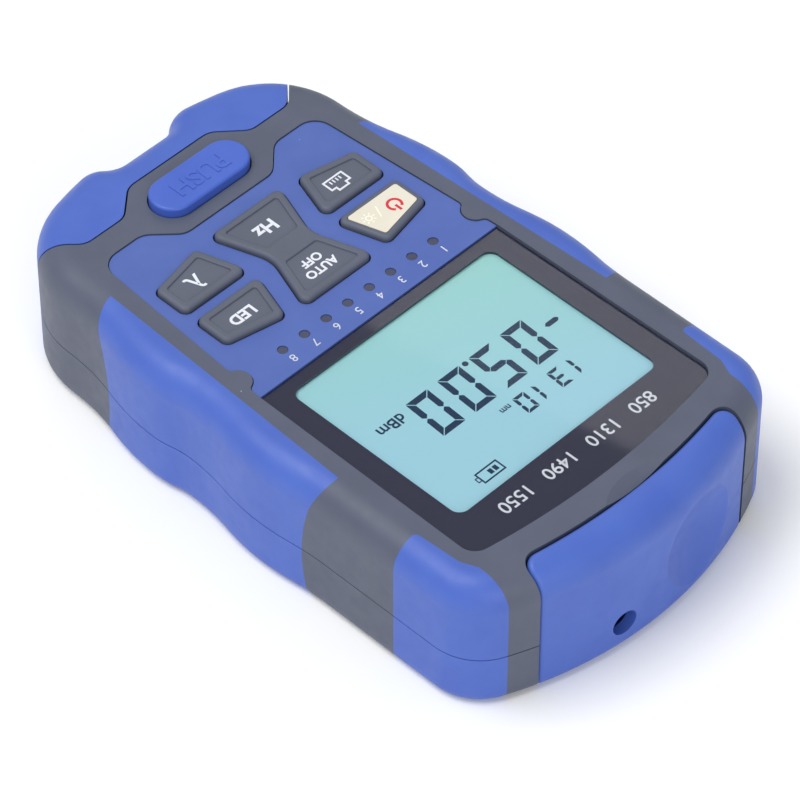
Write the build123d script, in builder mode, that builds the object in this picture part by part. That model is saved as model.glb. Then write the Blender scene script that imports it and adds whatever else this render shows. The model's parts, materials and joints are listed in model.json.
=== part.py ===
from build123d import *
from math import sqrt
import os

os.makedirs("parts", exist_ok=True)

# Case size, all in millimetres. X across, Y toward the capped end, Z up from the back.
LENGTH = 123.0
HALF_WIDTH = 35.9
THICKNESS = 27.0
PARTING_Z = 11.0
WALL = 2.4
FRONT_EDGE_R = 5.2
BACK_EDGE_R = 2.5
END_ARC_R = 72.0
TOP_CORNER_R = 10.4
FOOT_ARC_R = 77.0
FOOT_CORNER_R = 18.0
FOOT_NARROWING = 3.4
SEAM_WIDTH = 0.2
SEAM_DEPTH = 0.2

# Finger notch in the foot, between two rounded ears.
NOTCH_HALF = 6.2
NOTCH_RUN = 3.3
NOTCH_DEPTH = 2.75
NOTCH_R = 4.4
EAR_R = 5.6
EAR_REACH = 2.7

# Grip waves on the long sides: steps from the straight side, and places along it from the lamp row.
CREST_STEP = 0.95
WAIST_STEP = -1.0
LOWER_CREST_STEP = -0.1
WAVE_START = 27.5
CREST_AT = 13.75
WAIST_AT = -4.4
LOWER_CREST_AT = -12.1

# Soft grips laid into the case. Widths run in from the straight side, places from the lamp row.
GRIP_DEPTH = 1.2
GRIP_TOP_WIDTH = 4.7
GRIP_FOOT_WIDTH = 7.1
GRIP_TOP_AT = 26.5
GRIP_TOP_DIP = 3.0
GRIP_TOP_BACK = 24.2
GRIP_FOOT_AT = -28.8
GRIP_FOOT_BACK = -25.6
GRIP_BEND_DROP = 9.5
CORNER_TIP_AT = 43.3
CORNER_TIP_WIDTH = 4.9
CORNER_NECK_WIDTH = 5.4
CORNER_NECK_LENGTH = 9.2
CORNER_STEP_LENGTH = 3.0
CORNER_ZONE_R = 1.0
STRIP_WIDTH = 6.7

# Front recess, display window and keypad plate.
RECESS_DEPTH = 1.65
RECESS_GAP = 0.15
LEDGE = 1.2
LEDGE_JOIN = 0.1
LENS_LENGTH = 50.7
LENS_FOOT_SIDE = 8.4
LENS_TOP_SIDE = 7.9
LENS_ARC_RISE = 2.7
LENS_CORNER_R = 3.0
LENS_MARGIN = 12.55
LENS_T = 0.5
LENS_BEVEL = 0.15
MASK_T = 1.0
MASK_REBATE = 0.5
WINDOW_SIDE = 4.3
WINDOW_LENGTH = 37.9
WINDOW_MARGIN = 2.6
WINDOW_CORNER_R = 2.0
LCD_BORDER = 1.8
LCD_T = 1.6
FIT_GAP = 0.1
PANEL_T = 1.4
PANEL_FOOT_SIDE = 2.7
PANEL_FOOT_MARGIN = 19.45
PANEL_CORNER_R = 3.6
PANEL_ARCH = 5.0
ARCH_FOOT_SIDE = 5.15
ARCH_TOP_SIDE = 0.05
SIDE_NOTCH_R = 2.6
SIDE_NOTCH_OUT = 0.2
SIDE_NOTCH_EASE = 1.0

# Indicator row and keys.
LED_DROP = 5.0
LED_COUNT = 8
LED_PITCH = 5.0
LED_HOLE_R = 0.95
LAMP_R = 0.9
LAMP_SINK = 0.15
KEYS_DROP = 15.6
KEY_INNER_X = 9.0
KEY_SLANT_X = 3.0
KEY_SIDE = 4.3
KEY_MID_GAP = 1.2
KEY_INNER_REACH = 10.7
KEY_OUTER_REACH = 8.4
KEY_CORNER_R = 1.3
KEY_FACE_R = 0.5
KEY_RISE = 1.0
KEY_EDGE_R = 0.7
KEY_GAP = 0.3
KEY_FLANGE = 0.6
KEY_RIM = 1.5
POWER_KEY_RIM = 1.0
KEY_RIM_STEP = 0.35
KEY_RIM_EASE = 0.25
KEY_TRAVEL = 0.8
KEY_FLANGE_T = 1.0
INSERT_GAP = 0.08
INSERT_RISE = 0.05
STEM_R = 1.5
STEM_GAP = 0.1
SWITCH_SHIFT = 0.4
SWITCH_Y = 5.5
SWITCH_SIZE = 6.0
SWITCH_HEIGHT = 2.3
SWITCH_CAP_R = 1.7
SWITCH_CAP_T = 0.7
ROCKER_HALF = 8.2
ROCKER_WAIST = 4.4
ROCKER_WAIST_R = 7.0
ROCKER_REACH = 11.2
ROCKER_BAND = 2.2
ROCKER_FACE_R = 0.6
ROCKER_FLANGE_DROP = 1.9
ROCKER_SWITCH_Y = 7.0
ROCKER_PIVOT_DROP = 1.5
ROCKER_PIN_R = 0.6
ROCKER_PIN_FIT = 0.05
ROCKER_PIN_HALF = 7.5
ROCKER_SWING = 0.5
LUG_X = 6.9
LUG_T = 0.9
LUG_WIDTH = 2.6
LUG_END = 0.2

# Detachable remote at the foot and its release button.
SPLIT_MARGIN = 14.55
SPLIT_SIDE = 12.3
SPLIT_SLOPE = 21.0
SPLIT_R = 3.5
TONGUE_DROP = 4.8
TONGUE_START = 2.0
TONGUE_FOOT_SIDE = 0.95
TONGUE_TOP_SIDE = 4.45
DOCK_GAP = 0.3
DOCK_SIDE = 16.5
DOCK_DEPTH = 22.65
DOCK_FLOOR_Z = 2.8
DOCK_ROOF_Z = 18.8
DOCK_WALL = 1.6
DOCK_PASS = 6.0
BUTTON_LENGTH = 20.5
BUTTON_WIDTH = 8.3
BUTTON_SETBACK = 2.6
BUTTON_RISE = 1.8
BUTTON_EDGE_R = 0.55
BUTTON_FIT = 0.25
BUTTON_FLANGE = 1.2
BUTTON_FLANGE_SIDE = 0.6
BUTTON_FLANGE_T = 1.0
BUTTON_FLANGE_R = 2.0
BUTTON_FLOOR = 1.4
WELL_SIDE = 2.0
WELL_END = 0.9
WELL_R = 3.0
SPRING_R = 2.0
SPRING_WIRE_R = 0.3
SPRING_END = 0.35
SPRING_TURNS = 2.5
JACK_HALF = 8.0
REMOTE_JACK_DEPTH = 16.4
MAIN_JACK_DEPTH = 13.4
JACK_FLOOR_Z = 5.3
JACK_HEIGHT = 13.0
JACK_SETBACK = 1.5
JACK_FIT = 0.1
MOUTH_HALF = 5.9
MOUTH_Z = 12.2
MOUTH_HEIGHT = 8.0
MOUTH_DEPTH = 12.0
MOUTH_SIDE = 0.2
LATCH_HALF = 3.1
LATCH_STEP = 1.45
LATCH_TIP_HALF = 1.7
LATCH_TIP_STEP = 1.15
LATCH_JOIN = 0.05
PIN_COUNT = 8
PIN_PITCH = 1.02
PIN_WIDTH = 0.45
PIN_LENGTH = 9.0
PIN_START = 3.0
PIN_DROP = 1.3
PIN_ROOT = 0.1
REMOTE_BOARD_T = 1.2
REMOTE_BOARD_HEIGHT = 12.5
REMOTE_BOARD_GAP = 0.2

# Hinged end cap and the port bay behind it.
CAP_SIDE = 12.1
CAP_GAP = 0.3
CAP_WALL = 2.0
CAP_FRONT_MARGIN = 6.95
CAP_FRONT_SAG = 2.6
CAP_CORNER_R = 2.5
CAP_EDGE_R = 0.9
SCOOP_R = 22.0
SCOOP_X = -12.5
SCOOP_Z = 12.5
SCOOP_REACH = 3.1
NAIL_R = 29.7
NAIL_HEIGHT = 27.4
NAIL_SETBACK = 8.6
NAIL_X = -1.0
HINGE_MARGIN = 14.75
HINGE_Z = 5.0
HINGE_SPLIT_R = 6.6
HINGE_PIN_R = 1.0
HINGE_PIN_LENGTH = 4.0
HINGE_PIN_OUT = 0.2
HINGE_PIN_FIT = 0.02
HINGE_ARM_FIT = 0.08
HINGE_PIN_SEAT = 2.4
ARM_R = 2.6
ARM_T = 1.8
ARM_RISE = 13.0
ARM_MARGIN = 4.6
ARM_SLOT = 2.4
ARM_SLOT_LENGTH = 14.0
ARM_SLOT_START = -3.5
ARM_SLOT_Z = 3.0
BAY_SETBACK = 3.5
BAY_WALL = 2.2
BAY_ROOF_Z = 23.0
METER_PORT_X = -11.5
METER_PORT_Z = 14.0
METER_REACH = 9.0
FAULT_PORT_X = 9.0
FAULT_PORT_Z = 15.4
FAULT_REACH = 8.0
PORT_HOLE_R = 4.0
PORT_SEAT_R = 3.9
PORT_FLANGE_R = 4.9
PORT_FLANGE_T = 1.4
PORT_NOSE_R = 3.1
PORT_BEVEL = 0.3
PORT_FLOOR = 0.5
FERRULE_R = 1.25
DETECTOR_R = 4.6
DETECTOR_LENGTH = 8.0
LASER_R = 4.2
LASER_LENGTH = 10.0
MODULE_GAP = 0.05
TORCH_X = 8.0
TORCH_Z = 6.2
TORCH_HOLE_R = 2.45
TORCH_BASE_R = 3.6
TORCH_BASE_STEP = 1.0
TORCH_R = 2.5
TORCH_MARGIN = 6.2

# Main board, power cells and door.
BOARD_DROP = 7.0
BOARD_T = 1.6
BOARD_SIDE = 7.9
BOARD_CORNER_R = 2.0
BOARD_FOOT_GAP = 2.4
BOARD_TOP_GAP = 11.0
CHIP_SIZE = (1.6, 1.0, 0.7)
CHIP_GAP = 0.3
BACKLIGHT_R = 1.0
CELL_R = 5.25
CELL_LENGTH = 44.5
CELL_TIP = 1.0
CELL_TIP_R = 1.9
CELL_PITCH = 11.0
CELL_COUNT = 3
CELL_SIDE = 2.2
CELL_GAP = 0.15
CONTACT_T = 0.4
CONTACT_HEIGHT = 6.4
CONTACT_SIDE = 1.5
CONTACT_NUB_R = 1.5
CONTACT_GAP = 0.1
DOOR_LENGTH = 50.4
DOOR_MARGIN = 1.2
DOOR_T = 1.8
DOOR_GAP = 0.3
DOOR_LIFT = 0.15
DOOR_HINGE_R = 0.6
DOOR_HINGE_FIT = 0.05
DOOR_PIN_END = 1.5
DOOR_PIN_ROOM = 0.5
DOOR_LEDGE = 1.7
DOOR_RIB = 1.2
RIB_GAP = 0.5
THUMB_R = 20.0
THUMB_DEPTH = 0.8
THUMB_MARGIN = 4.5

# Screws that hold the two halves.
SCREW_TOP_SIDE = 7.3
SCREW_TOP_AT = 0.6
SCREW_FOOT_SIDE = 10.4
SCREW_FOOT_AT = -3.0
SCREW_HEAD_R = 2.5
SCREW_HEAD_T = 1.8
SCREW_HEAD_Z = 3.2
SCREW_R = 1.45
SCREW_LENGTH = 11.0
SCREW_WELL_R = 2.7
SCREW_WELL_DEPTH = 5.0
SCREW_HOLE_R = 1.5
SCREW_HOLE_DEPTH = 17.0
CROSS_LENGTH = 3.2
CROSS_WIDTH = 0.7
CROSS_DEPTH = 0.6

# Room left round a cut so that it passes clean through.
OVERCUT = 20.0

# Datum lines that follow from the sizes above.
TOP_Y = LENGTH / 2
FOOT_Y = -LENGTH / 2
FRONT_Z = THICKNESS
RECESS_Z = FRONT_Z - RECESS_DEPTH
CAVITY_TOP_Z = FRONT_Z - WALL
GRIP_TOP_X = HALF_WIDTH - GRIP_TOP_WIDTH
GRIP_FOOT_X = HALF_WIDTH - GRIP_FOOT_WIDTH
LENS_HALF_FOOT = HALF_WIDTH - LENS_FOOT_SIDE
LENS_HALF_TOP = HALF_WIDTH - LENS_TOP_SIDE
LENS_TOP_Y = TOP_Y - LENS_MARGIN
LENS_FOOT_Y = LENS_TOP_Y - LENS_LENGTH
WINDOW_HALF = LENS_HALF_FOOT - WINDOW_SIDE
WINDOW_FOOT_Y = LENS_FOOT_Y + WINDOW_MARGIN
WINDOW_MID_Y = WINDOW_FOOT_Y + WINDOW_LENGTH / 2
LCD_TOP_Z = RECESS_Z + MASK_REBATE - FIT_GAP
LED_Y = LENS_FOOT_Y - LED_DROP
KEYS_Y = LED_Y - KEYS_DROP
KEY_OUTER_X = LENS_HALF_FOOT - KEY_SIDE
SWITCH_X = (KEY_INNER_X + KEY_OUTER_X) / 2 + SWITCH_SHIFT
PANEL_FOOT_HALF = LENS_HALF_FOOT - PANEL_FOOT_SIDE
PANEL_FOOT_Y = FOOT_Y + PANEL_FOOT_MARGIN
PANEL_TOP_Z = RECESS_Z + PANEL_T
SPLIT_Y = FOOT_Y + SPLIT_MARGIN
TONGUE_Y = SPLIT_Y - TONGUE_DROP
DOCK_HALF = HALF_WIDTH - DOCK_SIDE
DOCK_Y = FOOT_Y + DOCK_DEPTH
TONGUE_END_Y = DOCK_Y - DOCK_GAP
NOTCH_Y = FOOT_Y + NOTCH_DEPTH
REMOTE_JACK_Y = NOTCH_Y + JACK_SETBACK
BUTTON_Y = SPLIT_Y + BUTTON_SETBACK
BUTTON_Z = DOCK_ROOF_Z + BUTTON_FLOOR
BUTTON_FLANGE_Z = CAVITY_TOP_Z - BUTTON_FLANGE_T - DOCK_GAP
CAP_HALF = HALF_WIDTH - CAP_SIDE
CAP_FRONT_Y = TOP_Y - CAP_FRONT_MARGIN
HINGE_Y = TOP_Y - HINGE_MARGIN
BAY_Y = HINGE_Y - BAY_SETBACK
CAVITY_END_Y = BAY_Y - BAY_WALL
SCOOP_CENTRE = (SCOOP_X, TOP_Y + SCOOP_R - SCOOP_REACH, SCOOP_Z)
BOARD_TOP_Z = FRONT_Z - BOARD_DROP
SWITCH_TOP_Z = BOARD_TOP_Z + SWITCH_HEIGHT
BOARD_FOOT_Y = DOCK_Y + BOARD_FOOT_GAP
BOARD_END_Y = CAVITY_END_Y - BOARD_TOP_GAP
CELL_Z = WALL + CELL_R + CELL_GAP
DOOR_HALF = CELL_PITCH * CELL_COUNT / 2 + CELL_SIDE
DOOR_MID_Y = BOARD_END_Y - DOOR_MARGIN - DOOR_LENGTH / 2
DOOR_HINGE_Y = DOOR_MID_Y - DOOR_LENGTH / 2 + DOOR_T / 2
SCREW_SPOTS = [
    (side * (HALF_WIDTH - inward), y)
    for inward, y in ((SCREW_TOP_SIDE, BAY_Y + SCREW_TOP_AT), (SCREW_FOOT_SIDE, DOCK_Y + SCREW_FOOT_AT))
    for side in (-1, 1)
]
LED_SPOTS = [(LED_PITCH * (i - (LED_COUNT - 1) / 2), LED_Y) for i in range(LED_COUNT)]


def side_wave(start, end):
    """Two equal arcs in an S from one height on the side to another."""
    middle = (start + Vector(*end)) / 2
    first = TangentArc(start, middle, tangent=(0, -1))
    return TangentArc(middle, end, tangent=first % 1)


def case_outline(inset):
    """Plan outline of the whole case with the notch in its foot, drawn in by an inset."""
    centre_y = TOP_Y - END_ARC_R
    corner_x = HALF_WIDTH - TOP_CORNER_R
    reach = END_ARC_R - TOP_CORNER_R
    corner_y = centre_y + sqrt(reach**2 - corner_x**2)
    scale = END_ARC_R / reach
    corner_start = (corner_x * scale, centre_y + (corner_y - centre_y) * scale)
    foot_half = HALF_WIDTH - FOOT_NARROWING
    ear_x = NOTCH_HALF + NOTCH_RUN
    bow_y = FOOT_Y + sqrt(FOOT_ARC_R**2 - (ear_x + EAR_REACH) ** 2)
    ear_y = bow_y - sqrt(FOOT_ARC_R**2 - ear_x**2)
    foot_x = foot_half - FOOT_CORNER_R
    foot_reach = FOOT_ARC_R - FOOT_CORNER_R
    foot_corner_y = bow_y - sqrt(foot_reach**2 - foot_x**2)
    spread = FOOT_ARC_R / foot_reach
    foot_end = (foot_x * spread, bow_y - (bow_y - foot_corner_y) * spread)
    with BuildSketch() as sketch:
        with BuildLine():
            end_arc = TangentArc((0, TOP_Y), corner_start, tangent=(1, 0))
            corner = TangentArc(corner_start, (HALF_WIDTH, corner_y), tangent=end_arc % 1)
            side = Line(corner @ 1, (HALF_WIDTH, LED_Y + WAVE_START))
            crest = side_wave(side @ 1, (HALF_WIDTH + CREST_STEP, LED_Y + CREST_AT))
            waist = side_wave(crest @ 1, (HALF_WIDTH + WAIST_STEP, LED_Y + WAIST_AT))
            lower = side_wave(waist @ 1, (HALF_WIDTH + LOWER_CREST_STEP, LED_Y + LOWER_CREST_AT))
            taper = side_wave(lower @ 1, (foot_half, foot_corner_y))
            foot = TangentArc(taper @ 1, foot_end, tangent=(0, -1))
            bow = TangentArc(foot_end, (ear_x, ear_y), tangent=foot % 1)
            notch_side = Line(bow @ 1, (NOTCH_HALF, NOTCH_Y))
            Line(notch_side @ 1, (0, NOTCH_Y))
            mirror(about=Plane.YZ)
        make_face()
        low = sketch.vertices().filter_by(lambda v: v.Y < NOTCH_Y - NOTCH_DEPTH / 2)
        fillet(low.filter_by(lambda v: abs(v.X) < ear_x + EAR_REACH), EAR_R)
        inner = sketch.vertices().filter_by(lambda v: abs(v.Y - NOTCH_Y) < NOTCH_DEPTH / 4)
        fillet(inner.filter_by(lambda v: 0 < abs(v.X) < ear_x), NOTCH_R)
        if inset > 0:
            offset(amount=-inset)
    return sketch.sketch


def envelope(inset):
    """Rounded outer body of the case, drawn in by an inset."""
    with BuildPart() as body:
        with BuildSketch(Plane.XY.offset(inset)):
            add(case_outline(inset))
        extrude(amount=THICKNESS - 2 * inset)
        fillet(body.faces().sort_by(Axis.Z)[-1].edges(), FRONT_EDGE_R - inset)
        fillet(body.faces().sort_by(Axis.Z)[0].edges(), BACK_EDGE_R - inset)
    return body.part


def cap_zone(grow):
    """Plan area of the end cap, open past the end of the case."""
    ends_y = CAP_FRONT_Y - CAP_FRONT_SAG
    outer_y = TOP_Y + OVERCUT
    with BuildSketch() as sketch:
        with BuildLine():
            ThreePointArc((-CAP_HALF, ends_y), (0, CAP_FRONT_Y), (CAP_HALF, ends_y))
            Polyline(
                (CAP_HALF, ends_y),
                (CAP_HALF, outer_y),
                (-CAP_HALF, outer_y),
                (-CAP_HALF, ends_y),
            )
        make_face()
        fillet(sketch.vertices().group_by(Axis.Y)[0], CAP_CORNER_R)
        if grow > 0:
            offset(amount=grow)
    return sketch.sketch


def remote_zone(shrink):
    """Plan area of the remote, open past the foot of the case."""
    shoulder_x = HALF_WIDTH - SPLIT_SIDE
    outer_x = shoulder_x + SPLIT_SLOPE
    arch_foot_x = BUTTON_LENGTH / 2 + TONGUE_TOP_SIDE
    arch_top_x = BUTTON_LENGTH / 2 - TONGUE_FOOT_SIDE
    with BuildSketch() as sketch:
        with BuildLine():
            FilletPolyline(
                (outer_x, FOOT_Y - OVERCUT),
                (outer_x, SPLIT_Y - SPLIT_SLOPE),
                (shoulder_x, SPLIT_Y),
                (arch_foot_x, SPLIT_Y),
                (arch_top_x, TONGUE_Y),
                (-arch_top_x, TONGUE_Y),
                (-arch_foot_x, SPLIT_Y),
                (-shoulder_x, SPLIT_Y),
                (-outer_x, SPLIT_Y - SPLIT_SLOPE),
                (-outer_x, FOOT_Y - OVERCUT),
                radius=SPLIT_R,
                close=True,
            )
        make_face()
        if shrink > 0:
            offset(amount=-shrink)
    return sketch.sketch


def lens_outline():
    """Plan outline of the display window plate."""
    shoulder_y = LENS_TOP_Y - LENS_ARC_RISE
    with BuildSketch() as sketch:
        with BuildLine():
            ThreePointArc((LENS_HALF_TOP, shoulder_y), (0, LENS_TOP_Y), (-LENS_HALF_TOP, shoulder_y))
            Polyline(
                (-LENS_HALF_TOP, shoulder_y),
                (-LENS_HALF_FOOT, LENS_FOOT_Y),
                (LENS_HALF_FOOT, LENS_FOOT_Y),
                (LENS_HALF_TOP, shoulder_y),
            )
        make_face()
        fillet(sketch.vertices().group_by(Axis.Y)[-1], LENS_CORNER_R)
    return sketch.sketch


def panel_outline():
    """Plan outline of the keypad plate with its two side notches."""
    foot = PANEL_FOOT_Y
    arch_foot_x = BUTTON_LENGTH / 2 + ARCH_FOOT_SIDE
    arch_top_x = BUTTON_LENGTH / 2 - ARCH_TOP_SIDE
    notch_x = LENS_HALF_FOOT + SIDE_NOTCH_OUT
    with BuildSketch() as sketch:
        with BuildLine():
            Polyline(
                (-LENS_HALF_FOOT, LENS_FOOT_Y),
                (-PANEL_FOOT_HALF, foot),
                (-arch_foot_x, foot),
                (-arch_top_x, foot + PANEL_ARCH),
                (arch_top_x, foot + PANEL_ARCH),
                (arch_foot_x, foot),
                (PANEL_FOOT_HALF, foot),
                (LENS_HALF_FOOT, LENS_FOOT_Y),
                close=True,
            )
        make_face()
        fillet(sketch.vertices().filter_by(lambda v: v.Y < KEYS_Y), PANEL_CORNER_R)
        with Locations((-notch_x, LED_Y), (notch_x, LED_Y)):
            Circle(SIDE_NOTCH_R, mode=Mode.SUBTRACT)
        near_notch = sketch.vertices().filter_by(
            lambda v: abs(v.Y - LED_Y) < SIDE_NOTCH_R + SIDE_NOTCH_EASE and abs(v.X) > notch_x - SIDE_NOTCH_R
        )
        fillet(near_notch, SIDE_NOTCH_EASE)
    return sketch.sketch


def front_area(inset):
    """Lens and keypad plate taken together, grown or drawn in."""
    with BuildSketch() as sketch:
        add(lens_outline())
        add(panel_outline())
        offset(amount=-inset)
    return sketch.sketch


def side_key(side, end, grow):
    """Outline of one corner key. Side is -1 or 1 in X, end is -1 or 1 in Y."""
    with BuildSketch() as sketch:
        with BuildLine():
            Polyline(
                (side * KEY_OUTER_X, KEYS_Y + end * KEY_MID_GAP),
                (side * KEY_INNER_X, KEYS_Y + end * KEY_MID_GAP),
                (side * (KEY_INNER_X + KEY_SLANT_X), KEYS_Y + end * KEY_INNER_REACH),
                (side * KEY_OUTER_X, KEYS_Y + end * KEY_OUTER_REACH),
                close=True,
            )
        make_face()
        if grow != 0:
            offset(amount=grow, kind=Kind.INTERSECTION)
        fillet(sketch.vertices(), max(KEY_CORNER_R + grow, KEY_FACE_R))
    return sketch.sketch


def rocker_outline(grow):
    """Hourglass outline of the middle rocker key."""
    with BuildSketch() as sketch:
        with BuildLine():
            Polyline(
                (ROCKER_HALF, KEYS_Y + ROCKER_REACH),
                (ROCKER_WAIST, KEYS_Y),
                (ROCKER_HALF, KEYS_Y - ROCKER_REACH),
                (-ROCKER_HALF, KEYS_Y - ROCKER_REACH),
                (-ROCKER_WAIST, KEYS_Y),
                (-ROCKER_HALF, KEYS_Y + ROCKER_REACH),
                close=True,
            )
        make_face()
        if grow != 0:
            offset(amount=grow, kind=Kind.INTERSECTION)
        waist = sketch.vertices().filter_by(lambda v: abs(v.Y - KEYS_Y) < ROCKER_REACH / 2)
        fillet(waist, ROCKER_WAIST_R - grow)
        corners = sketch.vertices().filter_by(lambda v: abs(v.Y - KEYS_Y) > ROCKER_REACH - 2 * KEY_RIM)
        fillet(corners, max(KEY_CORNER_R + grow, KEY_FACE_R))
    return sketch.sketch


def rocker_faces():
    """Two sunk faces of the rocker, parted by a band at its waist."""
    with BuildSketch() as sketch:
        add(rocker_outline(-KEY_RIM))
        with Locations((0, KEYS_Y)):
            Rectangle(2 * ROCKER_HALF, 2 * ROCKER_BAND, mode=Mode.SUBTRACT)
        band_corners = sketch.vertices().filter_by(lambda v: abs(abs(v.Y - KEYS_Y) - ROCKER_BAND) < KEY_GAP)
        fillet(band_corners, ROCKER_FACE_R)
    return sketch.sketch


def rim_inside(part):
    """Edges round the sunk faces in the highest face of a key."""
    top_face = part.faces().sort_by(Axis.Z)[-1]
    return [edge for wire in top_face.inner_wires() for edge in wire.edges()]


def corner_key(side, end, rim, label):
    """Corner key with a raised rim, a flange under the plate and a stem over its switch."""
    flange_top = RECESS_Z - KEY_GAP
    flange_foot = flange_top - KEY_FLANGE_T
    stem_foot = SWITCH_TOP_Z + KEY_TRAVEL + STEM_GAP
    top = PANEL_TOP_Z + KEY_RISE
    with BuildPart() as key:
        with BuildSketch(Plane.XY.offset(flange_foot)):
            add(side_key(side, end, KEY_FLANGE))
        extrude(amount=KEY_FLANGE_T)
        with BuildSketch(Plane.XY.offset(flange_top)):
            add(side_key(side, end, 0))
        extrude(amount=top - flange_top)
        fillet(key.faces().sort_by(Axis.Z)[-1].edges(), KEY_EDGE_R)
        with BuildSketch(Plane.XY.offset(top)):
            add(side_key(side, end, -rim))
        extrude(amount=-KEY_RIM_STEP, mode=Mode.SUBTRACT)
        if rim > POWER_KEY_RIM:
            fillet(rim_inside(key.part), KEY_RIM_EASE)
        with BuildSketch(Plane.XY.offset(stem_foot)):
            with Locations((side * SWITCH_X, KEYS_Y + end * SWITCH_Y)):
                Circle(STEM_R)
        extrude(amount=flange_foot - stem_foot)
    key.part.label = label
    return key


def half_space(low_z, high_z):
    """Wide block between two heights."""
    with BuildPart() as block:
        with Locations((0, 0, (low_z + high_z) / 2)):
            Box(2 * HALF_WIDTH + OVERCUT, LENGTH + OVERCUT, high_z - low_z)
    return block.part


def grip_zone(side):
    """Region taken by the long grip on one side."""
    top = LED_Y + GRIP_TOP_AT
    foot = LED_Y + GRIP_FOOT_AT
    top_back = LED_Y + GRIP_TOP_BACK
    foot_back = LED_Y + GRIP_FOOT_BACK
    outer_x = HALF_WIDTH + OVERCUT
    bend_z = FRONT_Z - GRIP_BEND_DROP
    with BuildPart() as zone:
        with BuildSketch():
            with BuildLine():
                Polyline(
                    (side * GRIP_TOP_X, top),
                    (side * GRIP_FOOT_X, foot),
                    (side * outer_x, foot),
                    (side * outer_x, top),
                    close=True,
                )
            make_face()
        extrude(amount=THICKNESS)
        with BuildSketch(Plane.YZ.offset(-outer_x)):
            with BuildLine():
                top_edge = ThreePointArc((top, FRONT_Z), (top - GRIP_TOP_DIP, bend_z), (top_back, 0))
                foot_edge = ThreePointArc((foot, FRONT_Z), (foot_back, bend_z), (foot_back, 0))
                Line(top_edge @ 0, foot_edge @ 0)
                Line(top_edge @ 1, foot_edge @ 1)
            make_face()
        extrude(amount=2 * outer_x, mode=Mode.INTERSECT)
    return zone.part


def corner_zone(side):
    """Region taken by the grip round one top corner."""
    tip_y = LED_Y + CORNER_TIP_AT
    neck_y = tip_y + CORNER_NECK_LENGTH
    outer_x = HALF_WIDTH + OVERCUT
    strip_x = HALF_WIDTH - STRIP_WIDTH
    with BuildPart() as zone:
        with BuildSketch():
            with BuildLine():
                FilletPolyline(
                    (side * (HALF_WIDTH - CORNER_TIP_WIDTH), tip_y),
                    (side * (HALF_WIDTH - CORNER_NECK_WIDTH), neck_y),
                    (side * strip_x, neck_y + CORNER_STEP_LENGTH),
                    (side * strip_x, TOP_Y + OVERCUT),
                    (side * outer_x, TOP_Y + OVERCUT),
                    (side * outer_x, tip_y),
                    radius=CORNER_ZONE_R,
                    close=True,
                )
            make_face()
        extrude(amount=THICKNESS)
    return zone.part


def grip_skin(zone, low_z, high_z, label):
    """Grip layer of the case inside a zone and between two heights."""
    with BuildPart() as grip:
        add(case_body)
        add(grip_bed, mode=Mode.SUBTRACT)
        add(zone, mode=Mode.INTERSECT)
        add(half_space(low_z, high_z), mode=Mode.INTERSECT)
    grip.part.label = label
    return grip


def network_jack(mouth_y, depth, label):
    """Modular jack with its mouth facing the foot of the case."""
    mouth_floor = MOUTH_Z - MOUTH_HEIGHT / 2
    mouth_roof = MOUTH_Z + MOUTH_HEIGHT / 2
    upward = (Align.CENTER, Align.CENTER, Align.MIN)
    with BuildPart() as jack:
        with Locations((0, mouth_y, JACK_FLOOR_Z)):
            Box(2 * JACK_HALF, depth, JACK_HEIGHT, align=(Align.CENTER, Align.MIN, Align.MIN))
        with Locations((0, mouth_y, MOUTH_Z)):
            Box(2 * MOUTH_HALF, 2 * MOUTH_DEPTH, MOUTH_HEIGHT, mode=Mode.SUBTRACT)
        with Locations((0, mouth_y, mouth_floor - LATCH_STEP)):
            Box(2 * LATCH_HALF, 2 * MOUTH_DEPTH, LATCH_STEP + LATCH_JOIN, align=upward, mode=Mode.SUBTRACT)
        with Locations((0, mouth_y, mouth_floor - LATCH_STEP - LATCH_TIP_STEP)):
            Box(
                2 * LATCH_TIP_HALF,
                2 * MOUTH_DEPTH,
                LATCH_TIP_STEP + LATCH_JOIN,
                align=upward,
                mode=Mode.SUBTRACT,
            )
        for i in range(PIN_COUNT):
            pin_x = PIN_PITCH * (i - (PIN_COUNT - 1) / 2)
            with Locations((pin_x, mouth_y + PIN_START + PIN_LENGTH / 2, mouth_roof - PIN_DROP)):
                Box(PIN_WIDTH, PIN_LENGTH, PIN_DROP + PIN_ROOT, align=upward)
    jack.part.label = label
    return jack


def optic_port(x, z, reach, label):
    """Metal sleeve that takes a ferrule, with a flange on the bay wall."""
    outward = (Align.CENTER, Align.CENTER, Align.MIN)
    with BuildPart() as port:
        with Locations((x, CAVITY_END_Y, z)):
            Cylinder(PORT_SEAT_R, BAY_WALL, rotation=(-90, 0, 0), align=outward)
        with Locations((x, BAY_Y, z)):
            Cylinder(PORT_FLANGE_R, PORT_FLANGE_T, rotation=(-90, 0, 0), align=outward)
            Cylinder(PORT_NOSE_R, reach, rotation=(-90, 0, 0), align=outward)
        with Locations((x, BAY_Y + reach, z)):
            Cylinder(FERRULE_R, 2 * (reach - PORT_FLOOR), rotation=(90, 0, 0), mode=Mode.SUBTRACT)
        chamfer(port.faces().sort_by(Axis.Y)[-1].edges(), PORT_BEVEL)
    port.part.label = label
    return port


def optic_module(x, z, radius, length, label):
    """Barrel behind an optical port."""
    with BuildPart() as module:
        with Locations((x, CAVITY_END_Y - MODULE_GAP, z)):
            Cylinder(radius, length, rotation=(90, 0, 0), align=(Align.CENTER, Align.CENTER, Align.MIN))
    module.part.label = label
    return module


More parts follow.
